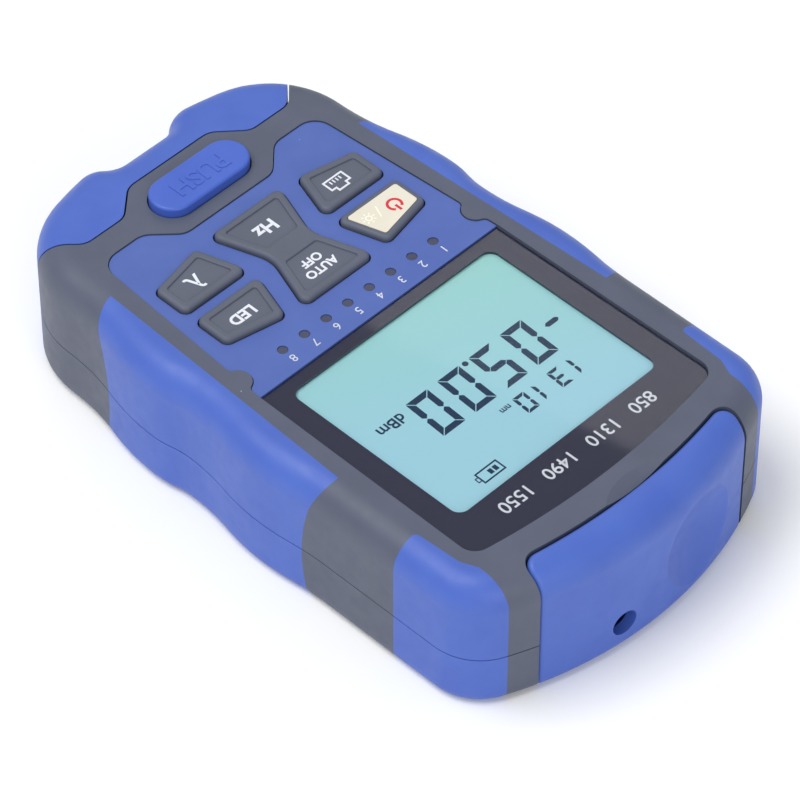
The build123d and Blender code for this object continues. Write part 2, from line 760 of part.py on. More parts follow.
# Shared outer body with a fine groove on the parting line.
plain_body = envelope(0)
with BuildPart() as body_block:
    add(plain_body)
    with BuildSketch(Plane.XY.offset(PARTING_Z - SEAM_WIDTH / 2)):
        add(case_outline(0))
        add(case_outline(SEAM_DEPTH), mode=Mode.SUBTRACT)
    extrude(amount=SEAM_WIDTH, mode=Mode.SUBTRACT)
case_body = body_block.part
grip_bed = envelope(GRIP_DEPTH)
cap_bed = envelope(CAP_WALL)
main_cavity = envelope(WALL)

long_left = grip_zone(-1)
long_right = grip_zone(1)
corner_left = corner_zone(-1)
corner_right = corner_zone(1)

front_grip_left = grip_skin(long_left, PARTING_Z, THICKNESS, "front_grip_left")
front_grip_right = grip_skin(long_right, PARTING_Z, THICKNESS, "front_grip_right")
front_corner_left = grip_skin(corner_left, PARTING_Z, THICKNESS, "front_corner_left")
front_corner_right = grip_skin(corner_right, PARTING_Z, THICKNESS, "front_corner_right")
rear_grip_left = grip_skin(long_left, 0, PARTING_Z, "rear_grip_left")
rear_grip_right = grip_skin(long_right, 0, PARTING_Z, "rear_grip_right")
rear_corner_left = grip_skin(corner_left, 0, PARTING_Z, "rear_corner_left")
rear_corner_right = grip_skin(corner_right, 0, PARTING_Z, "rear_corner_right")

# Hollow of the case between the dock and the port bay.
with BuildPart() as hollow:
    add(main_cavity)
    with Locations((0, (DOCK_Y + DOCK_WALL + CAVITY_END_Y) / 2, THICKNESS / 2)):
        Box(4 * HALF_WIDTH, CAVITY_END_Y - DOCK_Y - DOCK_WALL, THICKNESS, mode=Mode.INTERSECT)

# Dock for the tongue of the remote, with the mouth of the inner jack.
with BuildPart() as dock:
    with Locations((0, (DOCK_Y + FOOT_Y - OVERCUT) / 2, (DOCK_FLOOR_Z + DOCK_ROOF_Z) / 2)):
        Box(2 * DOCK_HALF, DOCK_DEPTH + OVERCUT, DOCK_ROOF_Z - DOCK_FLOOR_Z)
    with Locations((0, DOCK_Y, MOUTH_Z)):
        Box(2 * (MOUTH_HALF + MOUTH_SIDE), DOCK_PASS, MOUTH_HEIGHT + 2 * MOUTH_SIDE)
    with BuildSketch():
        add(remote_zone(0))
    extrude(amount=THICKNESS)

# Bay that the cap closes.
with BuildPart() as bay:
    with Locations((0, (BAY_Y + TOP_Y + OVERCUT) / 2, (WALL + BAY_ROOF_Z) / 2)):
        Box(2 * (CAP_HALF + CAP_GAP), TOP_Y - BAY_Y + OVERCUT, BAY_ROOF_Z - WALL)

# Holes for the four case screws.
with BuildPart() as screw_holes:
    with Locations(*[(x, y, 0) for x, y in SCREW_SPOTS]):
        Cylinder(SCREW_WELL_R, SCREW_WELL_DEPTH, align=(Align.CENTER, Align.CENTER, Align.MIN))
        Cylinder(SCREW_HOLE_R, SCREW_HOLE_DEPTH, align=(Align.CENTER, Align.CENTER, Align.MIN))

# Front half of the case.
with BuildPart() as front_case:
    add(case_body)
    add(half_space(PARTING_Z, THICKNESS + OVERCUT), mode=Mode.INTERSECT)
    for grip in (front_grip_left, front_grip_right, front_corner_left, front_corner_right):
        add(grip.part, mode=Mode.SUBTRACT)
    add(hollow.part, mode=Mode.SUBTRACT)
    add(dock.part, mode=Mode.SUBTRACT)
    add(bay.part, mode=Mode.SUBTRACT)
    with BuildSketch():
        add(cap_zone(CAP_GAP))
    extrude(amount=THICKNESS + OVERCUT, mode=Mode.SUBTRACT)
    with BuildSketch(Plane.XY.offset(RECESS_Z)):
        add(front_area(-RECESS_GAP))
    extrude(amount=RECESS_DEPTH + OVERCUT, mode=Mode.SUBTRACT)
    with BuildSketch(Plane.XY.offset(CAVITY_TOP_Z - LEDGE_JOIN)):
        add(front_area(LEDGE))
    extrude(amount=RECESS_Z - CAVITY_TOP_Z + 2 * LEDGE_JOIN, mode=Mode.SUBTRACT)
    with BuildSketch(Plane.XY.offset(BUTTON_Z)):
        with Locations((0, BUTTON_Y)):
            RectangleRounded(BUTTON_LENGTH + 2 * WELL_SIDE, BUTTON_WIDTH + 2 * WELL_END, WELL_R)
    extrude(amount=CAVITY_TOP_Z - BUTTON_Z, mode=Mode.SUBTRACT)
    with BuildSketch(Plane.XY.offset(BUTTON_Z)):
        with Locations((0, BUTTON_Y)):
            SlotOverall(BUTTON_LENGTH + 2 * BUTTON_FIT, BUTTON_WIDTH + 2 * BUTTON_FIT)
    extrude(amount=THICKNESS, mode=Mode.SUBTRACT)
    with Locations((NAIL_X, CAP_FRONT_Y + NAIL_SETBACK, FRONT_Z + NAIL_HEIGHT)):
        Sphere(NAIL_R, mode=Mode.SUBTRACT)
    with Locations((METER_PORT_X, CAVITY_END_Y, METER_PORT_Z), (FAULT_PORT_X, CAVITY_END_Y, FAULT_PORT_Z)):
        Cylinder(PORT_HOLE_R, 4 * BAY_WALL, rotation=(90, 0, 0), mode=Mode.SUBTRACT)
    add(screw_holes.part, mode=Mode.SUBTRACT)
front_case.part.label = "front_case"

# Back half of the case, with the swing room of the cap and the cell compartment.
with BuildPart() as cap_swing:
    with Locations((0, HINGE_Y + OVERCUT / 2, PARTING_Z / 2)):
        Box(2 * (CAP_HALF + CAP_GAP), OVERCUT, PARTING_Z + OVERCUT)
    with Locations((0, HINGE_Y, HINGE_Z)):
        Cylinder(HINGE_SPLIT_R, 4 * HALF_WIDTH, rotation=(0, 90, 0), mode=Mode.SUBTRACT)
    for side in (-1, 1):
        slot_x = side * (CAP_HALF + CAP_GAP - ARM_SLOT / 2)
        with Locations((slot_x, HINGE_Y + ARM_SLOT_START + ARM_SLOT_LENGTH / 2, 0)):
            Box(ARM_SLOT, ARM_SLOT_LENGTH, 2 * ARM_SLOT_Z)

with BuildPart() as rear_case:
    add(case_body)
    add(half_space(-OVERCUT, PARTING_Z), mode=Mode.INTERSECT)
    for grip in (rear_grip_left, rear_grip_right, rear_corner_left, rear_corner_right):
        add(grip.part, mode=Mode.SUBTRACT)
    add(hollow.part, mode=Mode.SUBTRACT)
    compartment_half = DOOR_HALF - DOOR_LEDGE
    compartment_length = DOOR_LENGTH - 2 * DOOR_LEDGE
    with BuildSketch(Plane.XY.offset(WALL)):
        with Locations((0, DOOR_MID_Y)):
            Rectangle(2 * (compartment_half + DOOR_RIB), compartment_length + 2 * DOOR_RIB)
            Rectangle(2 * compartment_half, compartment_length, mode=Mode.SUBTRACT)
    extrude(amount=PARTING_Z - WALL - RIB_GAP)
    add(dock.part, mode=Mode.SUBTRACT)
    add(bay.part, mode=Mode.SUBTRACT)
    add(cap_swing.part, mode=Mode.SUBTRACT)
    with Locations((0, DOOR_MID_Y, 0)):
        Box(
            2 * (DOOR_HALF + DOOR_GAP),
            DOOR_LENGTH + 2 * DOOR_GAP,
            2 * (DOOR_T + DOOR_LIFT),
            mode=Mode.SUBTRACT,
        )
        Box(2 * compartment_half, compartment_length, 3 * WALL, mode=Mode.SUBTRACT)
    with Locations((0, DOOR_HINGE_Y, DOOR_T / 2)):
        Cylinder(
            DOOR_HINGE_R + DOOR_HINGE_FIT,
            2 * (DOOR_HALF + DOOR_PIN_END + DOOR_PIN_ROOM),
            rotation=(0, 90, 0),
            mode=Mode.SUBTRACT,
        )
    with Locations((0, HINGE_Y, HINGE_Z)):
        Cylinder(
            HINGE_PIN_R + HINGE_PIN_FIT,
            2 * (CAP_HALF + HINGE_PIN_SEAT),
            rotation=(0, 90, 0),
            mode=Mode.SUBTRACT,
        )
    with Locations((METER_PORT_X, CAVITY_END_Y, METER_PORT_Z), (TORCH_X, CAVITY_END_Y, TORCH_Z)):
        Cylinder(PORT_HOLE_R, 4 * BAY_WALL, rotation=(90, 0, 0), mode=Mode.SUBTRACT)
    add(screw_holes.part, mode=Mode.SUBTRACT)
rear_case.part.label = "rear_case"

# Display stack: clear window, mask with a rebate for the panel, panel, back light and board.
with BuildPart() as display_lens:
    with BuildSketch(Plane.XY.offset(RECESS_Z + MASK_T)):
        add(lens_outline())
    extrude(amount=LENS_T)
    chamfer(display_lens.faces().sort_by(Axis.Z)[-1].edges(), LENS_BEVEL)
display_lens.part.label = "display_lens"

lcd_width = 2 * (WINDOW_HALF + LCD_BORDER)
lcd_length = WINDOW_LENGTH + 2 * LCD_BORDER
with BuildPart() as lens_mask:
    with BuildSketch(Plane.XY.offset(RECESS_Z)):
        add(lens_outline())
        with Locations((0, WINDOW_MID_Y)):
            RectangleRounded(2 * WINDOW_HALF, WINDOW_LENGTH, WINDOW_CORNER_R, mode=Mode.SUBTRACT)
    extrude(amount=MASK_T)
    with BuildSketch(Plane.XY.offset(RECESS_Z)):
        with Locations((0, WINDOW_MID_Y)):
            Rectangle(lcd_width + 2 * FIT_GAP, lcd_length + 2 * FIT_GAP)
    extrude(amount=MASK_REBATE, mode=Mode.SUBTRACT)
lens_mask.part.label = "lens_mask"

with BuildPart() as lcd_panel:
    with BuildSketch(Plane.XY.offset(LCD_TOP_Z - LCD_T)):
        with Locations((0, WINDOW_MID_Y)):
            Rectangle(lcd_width, lcd_length)
    extrude(amount=LCD_T)
lcd_panel.part.label = "lcd_panel"

with BuildPart() as backlight:
    with BuildSketch(Plane.XY.offset(BOARD_TOP_Z + FIT_GAP)):
        with Locations((0, WINDOW_MID_Y)):
            RectangleRounded(lcd_width, lcd_length, BACKLIGHT_R)
    extrude(amount=LCD_TOP_Z - LCD_T - BOARD_TOP_Z - 2 * FIT_GAP)
backlight.part.label = "backlight"

with BuildPart() as main_board:
    with BuildSketch(Plane.XY.offset(BOARD_TOP_Z - BOARD_T)):
        with Locations((0, (BOARD_FOOT_Y + BOARD_END_Y) / 2)):
            RectangleRounded(2 * (HALF_WIDTH - BOARD_SIDE), BOARD_END_Y - BOARD_FOOT_Y, BOARD_CORNER_R)
    extrude(amount=BOARD_T)
    with Locations(*[(x, y, BOARD_TOP_Z) for x, y in LED_SPOTS]):
        Box(*CHIP_SIZE, align=(Align.CENTER, Align.CENTER, Align.MIN))
main_board.part.label = "main_board"

with BuildPart() as key_switches:
    switch_spots = [(x, KEYS_Y + y) for x in (-SWITCH_X, SWITCH_X) for y in (-SWITCH_Y, SWITCH_Y)]
    switch_spots += [(0, KEYS_Y - ROCKER_SWITCH_Y), (0, KEYS_Y + ROCKER_SWITCH_Y)]
    with Locations(*[(x, y, BOARD_TOP_Z) for x, y in switch_spots]):
        Box(
            SWITCH_SIZE,
            SWITCH_SIZE,
            SWITCH_HEIGHT - SWITCH_CAP_T,
            align=(Align.CENTER, Align.CENTER, Align.MIN),
        )
    with Locations(*[(x, y, SWITCH_TOP_Z - SWITCH_CAP_T) for x, y in switch_spots]):
        Cylinder(SWITCH_CAP_R, SWITCH_CAP_T, align=(Align.CENTER, Align.CENTER, Align.MIN))
key_switches.part.label = "key_switches"

# Keypad plate with its openings and the lugs that carry the rocker.
with BuildPart() as keypad_panel:
    with BuildSketch(Plane.XY.offset(RECESS_Z)):
        add(panel_outline())
    extrude(amount=PANEL_T)
    with BuildSketch(Plane.XY.offset(RECESS_Z)):
        with Locations(*LED_SPOTS):
            Circle(LED_HOLE_R)
        for side in (-1, 1):
            for end in (-1, 1):
                add(side_key(side, end, KEY_GAP))
        add(rocker_outline(KEY_GAP))
    extrude(amount=PANEL_T, mode=Mode.SUBTRACT)
    for side in (-1, 1):
        with Locations((side * LUG_X, KEYS_Y, RECESS_Z - ROCKER_PIVOT_DROP + LUG_END)):
            Box(LUG_T, LUG_WIDTH, 2 * (ROCKER_PIVOT_DROP - LUG_END))
        with Locations((side * LUG_X, KEYS_Y, RECESS_Z - ROCKER_PIVOT_DROP)):
            Cylinder(ROCKER_PIN_R + ROCKER_PIN_FIT, 3 * LUG_T, rotation=(0, 90, 0), mode=Mode.SUBTRACT)
keypad_panel.part.label = "keypad_panel"

with BuildPart() as indicator_lamps:
    lamp_foot_z = BOARD_TOP_Z + CHIP_SIZE[2] + CHIP_GAP
    for x, y in LED_SPOTS:
        with Locations((x, y, lamp_foot_z)):
            Cylinder(
                LAMP_R,
                PANEL_TOP_Z - LAMP_SINK - lamp_foot_z,
                align=(Align.CENTER, Align.CENTER, Align.MIN),
            )
indicator_lamps.part.label = "indicator_lamps"

# Keys.
power_key = corner_key(-1, 1, POWER_KEY_RIM, "power_key")
network_key = corner_key(-1, -1, KEY_RIM, "network_key")
lamp_key = corner_key(1, 1, KEY_RIM, "lamp_key")
wavelength_key = corner_key(1, -1, KEY_RIM, "wavelength_key")

with BuildPart() as power_key_insert:
    with BuildSketch(Plane.XY.offset(PANEL_TOP_Z + KEY_RISE - KEY_RIM_STEP)):
        add(side_key(-1, 1, -POWER_KEY_RIM - INSERT_GAP))
    extrude(amount=KEY_RIM_STEP + INSERT_RISE)
power_key_insert.part.label = "power_key_insert"

with BuildPart() as rocker_key:
    flange_z = RECESS_Z - ROCKER_FLANGE_DROP
    rocker_top = PANEL_TOP_Z + KEY_RISE
    rocker_stem_z = SWITCH_TOP_Z + ROCKER_SWING
    with BuildSketch(Plane.XY.offset(flange_z)):
        add(rocker_outline(KEY_FLANGE))
    extrude(amount=KEY_FLANGE_T)
    with BuildSketch(Plane.XY.offset(flange_z + KEY_FLANGE_T)):
        add(rocker_outline(0))
    extrude(amount=rocker_top - flange_z - KEY_FLANGE_T)
    fillet(rocker_key.faces().sort_by(Axis.Z)[-1].edges(), KEY_EDGE_R)
    with BuildSketch(Plane.XY.offset(rocker_top)):
        add(rocker_faces())
    extrude(amount=-KEY_RIM_STEP, mode=Mode.SUBTRACT)
    fillet(rim_inside(rocker_key.part), KEY_RIM_EASE)
    with Locations((0, KEYS_Y, RECESS_Z - ROCKER_PIVOT_DROP)):
        Cylinder(ROCKER_PIN_R, 2 * ROCKER_PIN_HALF, rotation=(0, 90, 0))
    with BuildSketch(Plane.XY.offset(rocker_stem_z)):
        with Locations((0, KEYS_Y - ROCKER_SWITCH_Y), (0, KEYS_Y + ROCKER_SWITCH_Y)):
            Circle(STEM_R)
    extrude(amount=flange_z - rocker_stem_z)
rocker_key.part.label = "rocker_key"

# Release button and its return spring.
with BuildPart() as release_button:
    with BuildSketch(Plane.XY.offset(BUTTON_FLANGE_Z)):
        with Locations((0, BUTTON_Y)):
            RectangleRounded(
                BUTTON_LENGTH + 2 * BUTTON_FLANGE,
                BUTTON_WIDTH + 2 * BUTTON_FLANGE_SIDE,
                BUTTON_FLANGE_R,
            )
    extrude(amount=BUTTON_FLANGE_T)
    with BuildSketch(Plane.XY.offset(BUTTON_FLANGE_Z + BUTTON_FLANGE_T)):
        with Locations((0, BUTTON_Y)):
            SlotOverall(BUTTON_LENGTH, BUTTON_WIDTH)
    extrude(amount=FRONT_Z + BUTTON_RISE - BUTTON_FLANGE_Z - BUTTON_FLANGE_T)
    fillet(release_button.faces().sort_by(Axis.Z)[-1].edges(), BUTTON_EDGE_R)
release_button.part.label = "release_button"

with BuildPart() as release_spring:
    spring_height = BUTTON_FLANGE_Z - BUTTON_Z - 2 * SPRING_END
    spring_foot = (SPRING_R, BUTTON_Y, BUTTON_Z + SPRING_END)
    with BuildLine(Plane.XY.offset(BUTTON_Z + SPRING_END)):
        Helix(
            pitch=spring_height / SPRING_TURNS,
            height=spring_height,
            radius=SPRING_R,
            center=(0, BUTTON_Y, 0),
        )
    with BuildSketch(Plane(origin=spring_foot, z_dir=(0, 1, 0))):
        RegularPolygon(SPRING_WIRE_R, 6)
    sweep(is_frenet=True)
release_spring.part.label = "release_spring"

# Remote: shoe at the foot, tongue inside the dock, jack and small board.
with BuildPart() as remote_shell:
    with BuildSketch():
        add(remote_zone(DOCK_GAP))
    extrude(amount=THICKNESS)
    add(case_body, mode=Mode.INTERSECT)
    tongue_foot_y = NOTCH_Y + TONGUE_START
    with Locations((0, (TONGUE_END_Y + tongue_foot_y) / 2, (DOCK_FLOOR_Z + DOCK_ROOF_Z) / 2)):
        Box(
            2 * (DOCK_HALF - DOCK_GAP),
            TONGUE_END_Y - tongue_foot_y,
            DOCK_ROOF_Z - DOCK_FLOOR_Z - 2 * DOCK_GAP,
        )
    with Locations((0, (REMOTE_JACK_Y + TONGUE_END_Y + OVERCUT) / 2, JACK_FLOOR_Z + JACK_HEIGHT / 2)):
        Box(
            2 * (JACK_HALF + JACK_FIT),
            TONGUE_END_Y + OVERCUT - REMOTE_JACK_Y,
            JACK_HEIGHT + JACK_FIT,
            mode=Mode.SUBTRACT,
        )
    with Locations((0, NOTCH_Y, MOUTH_Z)):
        Box(
            2 * (MOUTH_HALF + JACK_FIT),
            4 * JACK_SETBACK,
            MOUTH_HEIGHT + 2 * MOUTH_SIDE,
            mode=Mode.SUBTRACT,
        )
remote_shell.part.label = "remote_shell"

remote_jack = network_jack(REMOTE_JACK_Y + JACK_FIT, REMOTE_JACK_DEPTH, "remote_jack")
main_jack = network_jack(DOCK_Y + DOCK_WALL + JACK_FIT, MAIN_JACK_DEPTH, "main_jack")

with BuildPart() as remote_board:
    remote_board_y = REMOTE_JACK_Y + REMOTE_JACK_DEPTH + REMOTE_BOARD_GAP
    with Locations((0, remote_board_y, JACK_FLOOR_Z + REMOTE_BOARD_GAP)):
        Box(
            2 * JACK_HALF,
            REMOTE_BOARD_T,
            REMOTE_BOARD_HEIGHT,
            align=(Align.CENTER, Align.MIN, Align.MIN),
        )
remote_board.part.label = "remote_board"

# Inner room of the end cap, short of the wall behind its thumb scoop.
with BuildPart() as cap_room:
    add(cap_bed)
    with Locations(SCOOP_CENTRE):
        Sphere(SCOOP_R + CAP_WALL, mode=Mode.SUBTRACT)

# End cap on two hinge arms, with a thumb scoop and the hole for the torch lamp.
with BuildPart() as end_cap:
    with BuildSketch():
        add(cap_zone(0))
    extrude(amount=THICKNESS)
    with Locations((0, HINGE_Y + OVERCUT / 2, PARTING_Z / 2)):
        Box(2 * CAP_HALF, OVERCUT, PARTING_Z)
    add(plain_body, mode=Mode.INTERSECT)
    # The rounding starts on the front edge and runs on along the smooth rim.
    front_rim = end_cap.edges().sort_by_distance((0, CAP_FRONT_Y, THICKNESS))[0]
    fillet(front_rim, CAP_EDGE_R)
    with Locations(SCOOP_CENTRE):
        Sphere(SCOOP_R, mode=Mode.SUBTRACT)
    with Locations((TORCH_X, TOP_Y, TORCH_Z)):
        Cylinder(TORCH_HOLE_R, OVERCUT, rotation=(90, 0, 0), mode=Mode.SUBTRACT)
    add(cap_room.part, mode=Mode.SUBTRACT)
    with Locations((0, HINGE_Y, HINGE_Z)):
        Cylinder(HINGE_SPLIT_R + CAP_GAP, 4 * HALF_WIDTH, rotation=(0, 90, 0), mode=Mode.SUBTRACT)
    for side in (-1, 1):
        with BuildSketch(Plane.YZ.offset(side * (CAP_HALF - ARM_T / 2) - ARM_T / 2)):
            with Locations((HINGE_Y, HINGE_Z)):
                Circle(ARM_R)
            with BuildLine():
                Polyline(
                    (HINGE_Y, HINGE_Z - ARM_R),
                    (TOP_Y - ARM_MARGIN, HINGE_Z - ARM_R),
                    (TOP_Y - ARM_MARGIN, HINGE_Z + ARM_RISE),
                    (HINGE_Y, HINGE_Z + ARM_R),
                    close=True,
                )
            make_face()
        extrude(amount=ARM_T)
    with Locations((0, HINGE_Y, HINGE_Z)):
        Cylinder(HINGE_PIN_R + HINGE_ARM_FIT, 4 * HALF_WIDTH, rotation=(0, 90, 0), mode=Mode.SUBTRACT)
end_cap.part.label = "end_cap"

with BuildPart() as cap_pins:
    for side in (-1, 1):
        with Locations((side * (CAP_HALF + HINGE_PIN_OUT), HINGE_Y, HINGE_Z)):
            Cylinder(HINGE_PIN_R, HINGE_PIN_LENGTH, rotation=(0, 90, 0))
cap_pins.part.label = "cap_pins"

# Optical ports with the modules behind them, and the torch lamp.
meter_port = optic_port(METER_PORT_X, METER_PORT_Z, METER_REACH, "meter_port")
fault_port = optic_port(FAULT_PORT_X, FAULT_PORT_Z, FAULT_REACH, "fault_port")
detector = optic_module(METER_PORT_X, METER_PORT_Z, DETECTOR_R, DETECTOR_LENGTH, "detector")
laser_module = optic_module(FAULT_PORT_X, FAULT_PORT_Z, LASER_R, LASER_LENGTH, "laser_module")

with BuildPart() as torch_lamp:
    torch_tip_y = TOP_Y - TORCH_MARGIN
    with Locations((TORCH_X, CAVITY_END_Y, TORCH_Z)):
        Cylinder(
            TORCH_BASE_R,
            BAY_WALL + TORCH_BASE_STEP,
            rotation=(-90, 0, 0),
            align=(Align.CENTER, Align.CENTER, Align.MIN),
        )
        Cylinder(
            TORCH_R,
            torch_tip_y - CAVITY_END_Y,
            rotation=(-90, 0, 0),
            align=(Align.CENTER, Align.CENTER, Align.MIN),
        )
    with Locations((TORCH_X, torch_tip_y, TORCH_Z)):
        Sphere(TORCH_R)
torch_lamp.part.label = "torch_lamp"

# Cells, contacts and door.
cell_columns = [i - (CELL_COUNT - 1) // 2 for i in range(CELL_COUNT)]
with BuildPart() as power_cells:
    for column in cell_columns:
        end = -1 if column % 2 else 1
        with Locations((column * CELL_PITCH, DOOR_MID_Y - end * CELL_TIP / 2, CELL_Z)):
            Cylinder(CELL_R, CELL_LENGTH - CELL_TIP, rotation=(90, 0, 0))
        with Locations((column * CELL_PITCH, DOOR_MID_Y + end * (CELL_LENGTH - CELL_TIP) / 2, CELL_Z)):
            Cylinder(CELL_TIP_R, CELL_TIP, rotation=(90, 0, 0))
power_cells.part.label = "power_cells"

with BuildPart() as cell_contacts:
    plate_y = DOOR_LENGTH / 2 - DOOR_LEDGE - MODULE_GAP - CONTACT_T
    nub = plate_y - CELL_LENGTH / 2 - CONTACT_GAP
    for end in (-1, 1):
        with Locations((0, DOOR_MID_Y + end * (plate_y + CONTACT_T / 2), CELL_Z)):
            Box(2 * (DOOR_HALF - DOOR_LEDGE - CONTACT_SIDE), CONTACT_T, CONTACT_HEIGHT)
        for column in cell_columns:
            with Locations((column * CELL_PITCH, DOOR_MID_Y + end * (plate_y - nub / 2), CELL_Z)):
                Cylinder(CONTACT_NUB_R, nub, rotation=(90, 0, 0))
cell_contacts.part.label = "cell_contacts"

with BuildPart() as battery_door:
    with Locations((0, DOOR_MID_Y, DOOR_T / 2)):
        Box(2 * DOOR_HALF, DOOR_LENGTH, DOOR_T)
    hinge_end = battery_door.edges().filter_by(Axis.X).sort_by(Axis.Y)[:2]
    fillet(hinge_end, DOOR_T / 2 - HINGE_PIN_FIT)
    with Locations((0, DOOR_HINGE_Y, DOOR_T / 2)):
        Cylinder(DOOR_HINGE_R, 2 * (DOOR_HALF + DOOR_PIN_END), rotation=(0, 90, 0))
    with Locations((0, DOOR_MID_Y + DOOR_LENGTH / 2 - THUMB_MARGIN, THUMB_DEPTH - THUMB_R)):
        Sphere(THUMB_R, mode=Mode.SUBTRACT)
battery_door.part.label = "battery_door"

with BuildPart() as case_screws:
    for x, y in SCREW_SPOTS:
        with Locations((x, y, SCREW_HEAD_Z)):
            Cylinder(SCREW_HEAD_R, SCREW_HEAD_T, align=(Align.CENTER, Align.CENTER, Align.MIN))
            Box(CROSS_LENGTH, CROSS_WIDTH, 2 * CROSS_DEPTH, mode=Mode.SUBTRACT)
            Box(CROSS_WIDTH, CROSS_LENGTH, 2 * CROSS_DEPTH, mode=Mode.SUBTRACT)
        with Locations((x, y, SCREW_HEAD_Z + SCREW_HEAD_T)):
            Cylinder(SCREW_R, SCREW_LENGTH, align=(Align.CENTER, Align.CENTER, Align.MIN))
case_screws.part.label = "case_screws"

pieces = [
    front_case,
    rear_case,
    front_grip_left,
    front_grip_right,
    front_corner_left,
    front_corner_right,
    rear_grip_left,
    rear_grip_right,
    rear_corner_left,
    rear_corner_right,
    display_lens,
    lens_mask,
    lcd_panel,
    backlight,
    main_board,
    key_switches,
    keypad_panel,
    indicator_lamps,
    power_key,
    power_key_insert,
    network_key,
    lamp_key,
    wavelength_key,
    rocker_key,
    release_button,
    release_spring,
    remote_shell,
    remote_jack,
    remote_board,
    main_jack,
    end_cap,
    cap_pins,
    meter_port,
    fault_port,
    detector,
    laser_module,
    torch_lamp,
    power_cells,
    cell_contacts,
    battery_door,
    case_screws,
]
for piece in pieces:
    export_step(piece.part, f"parts/{piece.part.label}.step")
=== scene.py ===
# Looks of a hand-held optical power meter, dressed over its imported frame.

import json
import math

import bmesh
import bpy
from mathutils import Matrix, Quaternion, Vector


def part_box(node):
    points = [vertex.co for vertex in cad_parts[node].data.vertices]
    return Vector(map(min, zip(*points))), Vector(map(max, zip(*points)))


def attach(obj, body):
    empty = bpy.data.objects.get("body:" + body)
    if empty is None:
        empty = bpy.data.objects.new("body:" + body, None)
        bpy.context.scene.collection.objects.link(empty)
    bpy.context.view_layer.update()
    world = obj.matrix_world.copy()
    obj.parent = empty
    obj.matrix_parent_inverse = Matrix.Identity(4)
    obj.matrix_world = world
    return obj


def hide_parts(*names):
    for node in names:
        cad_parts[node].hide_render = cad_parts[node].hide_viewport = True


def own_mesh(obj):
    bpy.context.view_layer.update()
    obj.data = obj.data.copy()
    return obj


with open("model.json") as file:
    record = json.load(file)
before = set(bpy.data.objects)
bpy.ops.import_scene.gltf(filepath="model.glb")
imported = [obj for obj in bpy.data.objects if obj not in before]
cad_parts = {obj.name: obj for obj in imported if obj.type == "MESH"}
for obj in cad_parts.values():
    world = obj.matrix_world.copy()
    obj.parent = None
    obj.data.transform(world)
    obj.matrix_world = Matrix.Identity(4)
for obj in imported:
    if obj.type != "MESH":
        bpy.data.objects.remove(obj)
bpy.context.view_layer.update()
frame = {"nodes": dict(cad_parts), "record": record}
nodes = frame["nodes"]

# Sizes of pieces and marks are in millimetres, and MM turns them into metres.
MM = 0.001
PRINT_T = 0.02
EMBOSS_T = 0.18
EMBOSS_SINK = 0.06
KEY_FACE_DROP = 0.35
LAMP_SINK = 0.15
MERGE_REACH = 0.0005

# Marks: shares of one, and counts of steps and points
CAPITAL_SHARE = 0.73
MITRE_LIMIT = 0.5
FONT_STEPS = 4
RING_POINTS = 24
SEGMENT_GAP = 0.12

# Surface detail: cells, sizes and depths in millimetres, the rest as shares of one
CLOUD_CELL = 9.0
DRIFT_CELL = 24.0
TONE_BAND = (0.35, 0.65)
POLISH_CELL = 2.5
POLISH_BAND = (0.3, 0.7)
POLISH_SPREAD = 0.05
METAL_CELL = 0.6
METAL_DETAIL = 4.0
METAL_SMOOTHER = 0.08
METAL_ROUGHER = 0.12
GRAIN_CELL = 0.22
GRAIN_DEPTH = 0.006
SPECK_CELL = 3.2
SPECK_SIZE = 0.12
SPECK_SHARE = 0.05

# Print and display under a clear gloss
PRINT_SPECULAR = 0.2
PRINT_ROUGHNESS = 0.4
GLOSS_ROUGHNESS = 0.03
DISPLAY_ROUGHNESS = 0.5
DISPLAY_GLOSS = 0.4
DISPLAY_EMISSION = 0.03
DISPLAY_ACROSS = 0.5

# Sockets of a colour mix: its two colours and its result
MIX_FIRST, MIX_SECOND, MIX_RESULT = 6, 7, 2

# Heights that the marks lie on, and the row of lamps that their places are measured from
LCD_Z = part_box("lcd_panel")[1].z / MM
MASK_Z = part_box("lens_mask")[1].z / MM
PANEL_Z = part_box("indicator_lamps")[1].z / MM + LAMP_SINK
KEY_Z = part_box("lamp_key")[1].z / MM - KEY_FACE_DROP
INSERT_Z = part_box("power_key_insert")[1].z / MM
BUTTON_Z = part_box("release_button")[1].z / MM
LED_Y = (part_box("indicator_lamps")[0].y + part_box("indicator_lamps")[1].y) / 2 / MM
BUTTON_Y = (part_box("release_button")[0].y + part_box("release_button")[1].y) / 2 / MM


def srgb(red, green, blue):
    """Screen colour of 0 to 255 as the linear colour a shader takes."""
    linear = []
    for value in (red, green, blue):
        v = value / 255
        linear.append(v / 12.92 if v <= 0.04045 else ((v + 0.055) / 1.055) ** 2.4)
    return (*linear, 1.0)


# Materials


def socket_of(material, name):
    """Input of a material's principled shader."""
    return material.node_tree.nodes["Principled BSDF"].inputs[name]


def new_material(name, colour, roughness, **values):
    """Material with one principled shader; further values are set on its sockets by name."""
    material = bpy.data.materials.new(name)
    material.use_nodes = True
    socket_of(material, "Base Color").default_value = colour
    socket_of(material, "Roughness").default_value = roughness
    for socket, value in values.items():
        socket_of(material, socket.replace("_", " ")).default_value = value
    return material


def add_node(material, kind, **values):
    """New node in a material, with values set on its sockets by name."""
    node = material.node_tree.nodes.new(kind)
    for socket, value in values.items():
        node.inputs[socket.replace("_", " ")].default_value = value
    return node


def link(material, source, target):
    material.node_tree.links.new(source, target)


def feed(material, value, target):
    """Gives a socket a number, a colour or another socket's value."""
    if isinstance(value, (float, tuple)):
        target.default_value = value
    else:
        link(material, value, target)


def object_place(material):
    """Place on the object, in metres, which moves with it."""
    return add_node(material, "ShaderNodeTexCoord").outputs["Object"]


